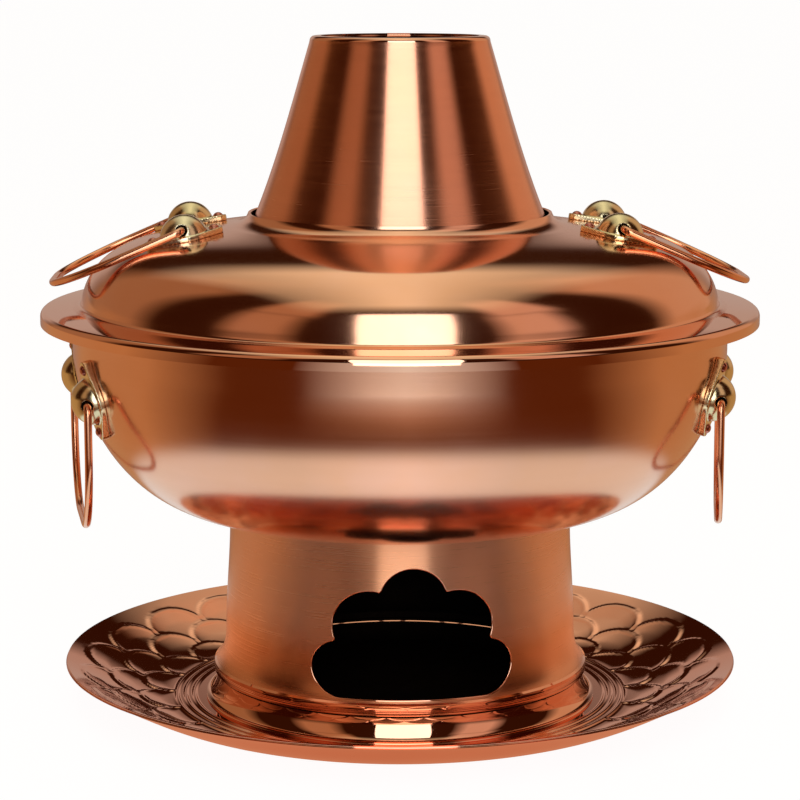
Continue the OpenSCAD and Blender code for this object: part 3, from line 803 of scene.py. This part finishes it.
def cast_lug(where, side, end):
    """A lug as it comes from the mould and the polishing wheel: every edge and corner softly rounded."""
    node = f"{where}_lug_{side}_{end}"
    even = ("REMESH", {"mode": "VOXEL", "voxel_size": CAST_GRAIN * MM, "adaptivity": 0.0})
    cast = applied(merged(node), even, ("SMOOTH", {"factor": 0.5, "iterations": 5}))
    point, direction = eye_axis(where, side)
    for f in cast.faces:
        c = f.calc_center_median()
        off = c - point
        away = off - direction * off.dot(direction)
        if away.length < EYE_MOUTH_R * MM and f.normal.dot(away) < 0.2 * away.length:
            f.material_index = 1
    new_piece(f"lug_{where}_{side}_{end}", cast, CARRIERS[where], [polished_brass, eye_shadow], [node],
              180)


def make_handles():
    for where, body in CARRIERS.items():
        for side in ("left", "right"):
            for end in ("front", "rear"):
                cast_lug(where, side, end)
            rivets = f"{where}_rivets_{side}"
            # The rivets get the darker copper, which is painted shade.
            new_piece(f"rivets_{where}_{side}", merged(rivets), body, [rivet_copper], [rivets],
                      40)
            bail = f"{where}_bail_{side}"
            new_piece(f"bail_{where}_{side}", merged(bail), bail, [wire_copper], [bail], 40)


def make_fire_parts():
    new_piece("seat_ring", softened("grate_seat", 0.4), "pot", [raw_iron], ["grate_seat"], 30)
    new_piece("grate_plate", softened("fire_grate", 0.6), "grate", [raw_iron], ["fire_grate"],
              30)
    # The collar is near-black.
    new_piece("collar_sleeve", softened("chimney_collar", 0.3), "chimney", [near_black_copper], ["chimney_collar"],
              40)


make_tray()
make_foot_and_bowl()
make_lid_and_chimney()
make_base()
make_handles()
make_fire_parts()


# ---------------------------------------------------------------- floor, light and camera
def stepped(n, value, lo, hi, soft):
    """1 between lo and hi, falling to 0 over the soft width at each end."""
    rise = n.spread(value, lo - soft / 2, lo + soft / 2, 0.0, 1.0)
    fall = n.spread(value, hi - soft / 2, hi + soft / 2, 1.0, 0.0)
    return n.math("MULTIPLY", rise, fall)


def product(n, *values):
    result = values[0]
    for value in values[1:]:
        result = n.math("MULTIPLY", result, value)
    return result


def angles(n, place):
    """Angle from the front and height angle of a direction, in degrees, with the direction's parts."""
    part = n.add("ShaderNodeSeparateXYZ")
    n.link(place, part.inputs[0])
    x, y, z = part.outputs
    turn = n.math("ABSOLUTE", n.math("ARCTAN2", x, n.math("MULTIPLY", y, -1.0)))
    rise = n.math("ARCSINE", z)
    return n.math("MULTIPLY", turn, 180 / pi), n.math("MULTIPLY", rise, 180 / pi), x, y, z


def panel(n, turn, rise, limits):
    """1 inside a panel's limits of the angle from the front and the height angle."""
    return product(n, stepped(n, turn, *limits[0]), stepped(n, rise, *limits[1]))


# Panels round the pot. Each has its limits of angle from the front and of height angle, as lowest, highest
# and soft width in degrees. The tones of a pair are those on the left and on the right.
DARK_WALL = (0.032, 0.008, 0.002)
LOW_WING = (36, 62, 10), (12, 44, 8)
HIGH_WING = (38, 68, 8), (41, 68, 8)
LEFT_WING_SHIFT = -6.0
WING_TONES = (0.42, 0.22, 0.12), (0.66, 0.42, 0.32)
SIDE_WALL = (106, 150, 14), (-40, 60, 18)
SIDE_TONES = (0.34, 0.18, 0.09), (0.60, 0.36, 0.22)
LOW_SIDE = (68, 135, 16), (-40, 2, 8)
LOW_SIDE_TONE = (0.50, 0.25, 0.10)
REAR_WALL = (152, 200, 12), (-60, 16, 6)
REAR_TONE = (0.48, 0.36, 0.30)
OVERHEAD = (62, 140, 14)
OVERHEAD_TONE = (0.96, 0.88, 0.66)


def make_world():
    """A dark studio with warm panels beside the front light, at the sides and behind, and light overhead."""
    world = bpy.data.worlds.new("studio")
    bpy.context.scene.world = world
    world.use_nodes = True
    n = Nodes(world.node_tree)
    back = world.node_tree.nodes["Background"]
    place = n.add("ShaderNodeTexCoord")
    turn, rise, x, y, z = angles(n, place.outputs["Generated"])
    right = n.spread(x, -0.1, 0.1, 0.0, 1.0)
    shifted = n.math("ADD", turn, n.spread(x, -0.1, 0.1, LEFT_WING_SHIFT, 0.0))
    wing = n.math("MAXIMUM", panel(n, shifted, rise, LOW_WING), panel(n, turn, rise, HIGH_WING))
    across = n.math("ABSOLUTE", x)
    over = n.math("MULTIPLY", n.math("ARCTAN2", z, n.math("MULTIPLY", y, -1.0)), 180 / pi)
    above = product(n, stepped(n, over, *OVERHEAD), n.spread(across, 0.04, 0.42, 1.0, 0.34),
                    n.spread(across, 0.40, 0.52, 1.0, 0.0), n.spread(z, 0.0, 0.3, 0.0, 1.0))
    colour = DARK_WALL
    for mask, tone in ((wing, n.mix(right, *WING_TONES)),
                       (panel(n, turn, rise, SIDE_WALL), n.mix(right, *SIDE_TONES)),
                       (panel(n, turn, rise, LOW_SIDE), LOW_SIDE_TONE),
                       (panel(n, turn, rise, REAR_WALL), REAR_TONE),
                       (above, OVERHEAD_TONE)):
        colour = n.mix(mask, colour, tone)
    ray = n.add("ShaderNodeLightPath")
    n.link(n.mix(ray.outputs["Is Camera Ray"], colour, (1.0, 1.0, 1.0)), back.inputs["Color"])
    back.inputs["Strength"].default_value = 1.0


# The floor as the copper mirrors it: tones by distance from the pot's axis, in metres, and by angle from
# the front.
FLOOR_R = 30.0
NEAR_FLOOR = 0.265
TRAY_SHADOW_EDGE = 0.158, 0.168
DARK_FLOOR = (0.10, 0.024, 0.005)
FAR_TONE = (0.50, 0.30, 0.20)
FARTHER_TONE = (0.82, 0.95, 1.05)
FLOOR_SIDE_TONE = (0.50, 0.27, 0.12)
FLOOR_REAR_TONE = (0.35, 0.22, 0.17)
NEAR_SIDE_TONE = (0.80, 0.84, 0.84)
NEAR_FRONT_TONE = (1.04, 1.04, 1.04)
# Painted shadow: the reddish dark tone the floor shows in reflections right under the tray.
TRAY_SHADOW_TONE = (0.62, 0.24, 0.12)
FLOOR_WHITE = (0.95, 0.95, 0.95)
FLOOR_BASE = (0.12, 0.12, 0.12)
BLACK = (0.0, 0.0, 0.0)


def make_floor():
    """A white floor round the pot, which glows. Mirrored in the copper its glow is white only near by and
    dark farther out, with a painted reddish shadow right under the tray.
    """
    bm = bmesh.new()
    bmesh.ops.create_circle(bm, cap_ends=True, radius=FLOOR_R, segments=64)
    floor = placed("floor", bm)
    m = bpy.data.materials.new("pale_floor")
    m.use_nodes = True
    n = Nodes(m.node_tree)
    shader = m.node_tree.nodes["Principled BSDF"]
    place = n.add("ShaderNodeTexCoord")
    part = n.add("ShaderNodeSeparateXYZ")
    n.link(place.outputs["Object"], part.inputs[0])
    x, y, z = part.outputs
    length = n.add("ShaderNodeVectorMath", operation="LENGTH")
    n.link(place.outputs["Object"], length.inputs[0])
    r = length.outputs["Value"]
    turn = n.math("MULTIPLY", n.math("ABSOLUTE", n.math("ARCTAN2", x, n.math("MULTIPLY", y, -1.0))), 180 / pi)
    near = n.spread(r, NEAR_FLOOR - 0.01, NEAR_FLOOR + 0.03, 1.0, 0.0)
    front = n.spread(turn, 0, 33, 1.0, 0.0)
    far = product(n, front, n.spread(r, 0.28, 0.52, 0.0, 1.0))
    farther = product(n, front, n.spread(r, 0.45, 1.1, 0.0, 1.0))
    side = n.spread(turn, 58, 92, 0.0, 1.0)
    rear = n.spread(turn, 140, 160, 0.0, 1.0)
    bright = n.mix(front, NEAR_SIDE_TONE, NEAR_FRONT_TONE)
    # Right under the tray the mirrored floor turns to the painted shadow's tone.
    close = n.mix(n.spread(r, *TRAY_SHADOW_EDGE, 0.0, 1.0), TRAY_SHADOW_TONE, bright)
    mirrored = DARK_FLOOR
    for mask, tone in ((far, FAR_TONE), (farther, FARTHER_TONE), (side, FLOOR_SIDE_TONE),
                       (rear, FLOOR_REAR_TONE), (near, close)):
        mirrored = n.mix(mask, mirrored, tone)
    ray = n.add("ShaderNodeLightPath")
    n.link(n.mix(ray.outputs["Is Glossy Ray"], FLOOR_BASE, BLACK), shader.inputs["Base Color"])
    glow = n.mix(ray.outputs["Is Camera Ray"], BLACK, FLOOR_WHITE)
    n.link(n.mix(ray.outputs["Is Glossy Ray"], glow, mirrored), shader.inputs["Emission Color"])
    shader.inputs["Emission Strength"].default_value = 1.0
    shader.inputs["Roughness"].default_value = 1.0
    shader.inputs["Specular IOR Level"].default_value = 0.0
    floor.data.materials.append(m)


LIGHT_PLACE = (0.0, -1.75, 1.0)
LIGHT_TARGET = (0.0, 0.0, 0.55)
LIGHT_W = 1.1
LIGHT_H = 2.0
LIGHT_GLOW = 1.8
GLOW_TO_POWER = 4.0


def make_front_light():
    """The tall front light that shows as a bright band on the chimney and a patch on the lid."""
    data = bpy.data.lights.new("front_box", "AREA")
    data.shape = "RECTANGLE"
    data.size = LIGHT_W
    data.size_y = LIGHT_H
    data.energy = LIGHT_GLOW * LIGHT_W * LIGHT_H * GLOW_TO_POWER
    light = bpy.data.objects.new("front_box", data)
    light.location = LIGHT_PLACE
    aim = Vector(LIGHT_TARGET) - Vector(LIGHT_PLACE)
    light.rotation_euler = aim.to_track_quat("-Z", "Y").to_euler()
    bpy.context.scene.collection.objects.link(light)


AXIS_DISTANCE = 1.2335
CAMERA_HEIGHT = 0.3518
CAMERA_PITCH = 9.545
CAMERA_TURN = 2.0
LENS = 117.4


def make_camera():
    data = bpy.data.cameras.new("camera")
    data.lens = LENS
    data.sensor_width = 36.0
    camera = bpy.data.objects.new("camera", data)
    a = radians(CAMERA_TURN)
    camera.location = (-AXIS_DISTANCE * sin(a), -AXIS_DISTANCE * cos(a), CAMERA_HEIGHT)
    camera.rotation_euler = (radians(90 - CAMERA_PITCH), 0, -a)
    bpy.context.scene.collection.objects.link(camera)
    bpy.context.scene.camera = camera


make_floor()
make_world()
make_front_light()
make_camera()

view = bpy.context.scene.view_settings
view.view_transform = "Standard"
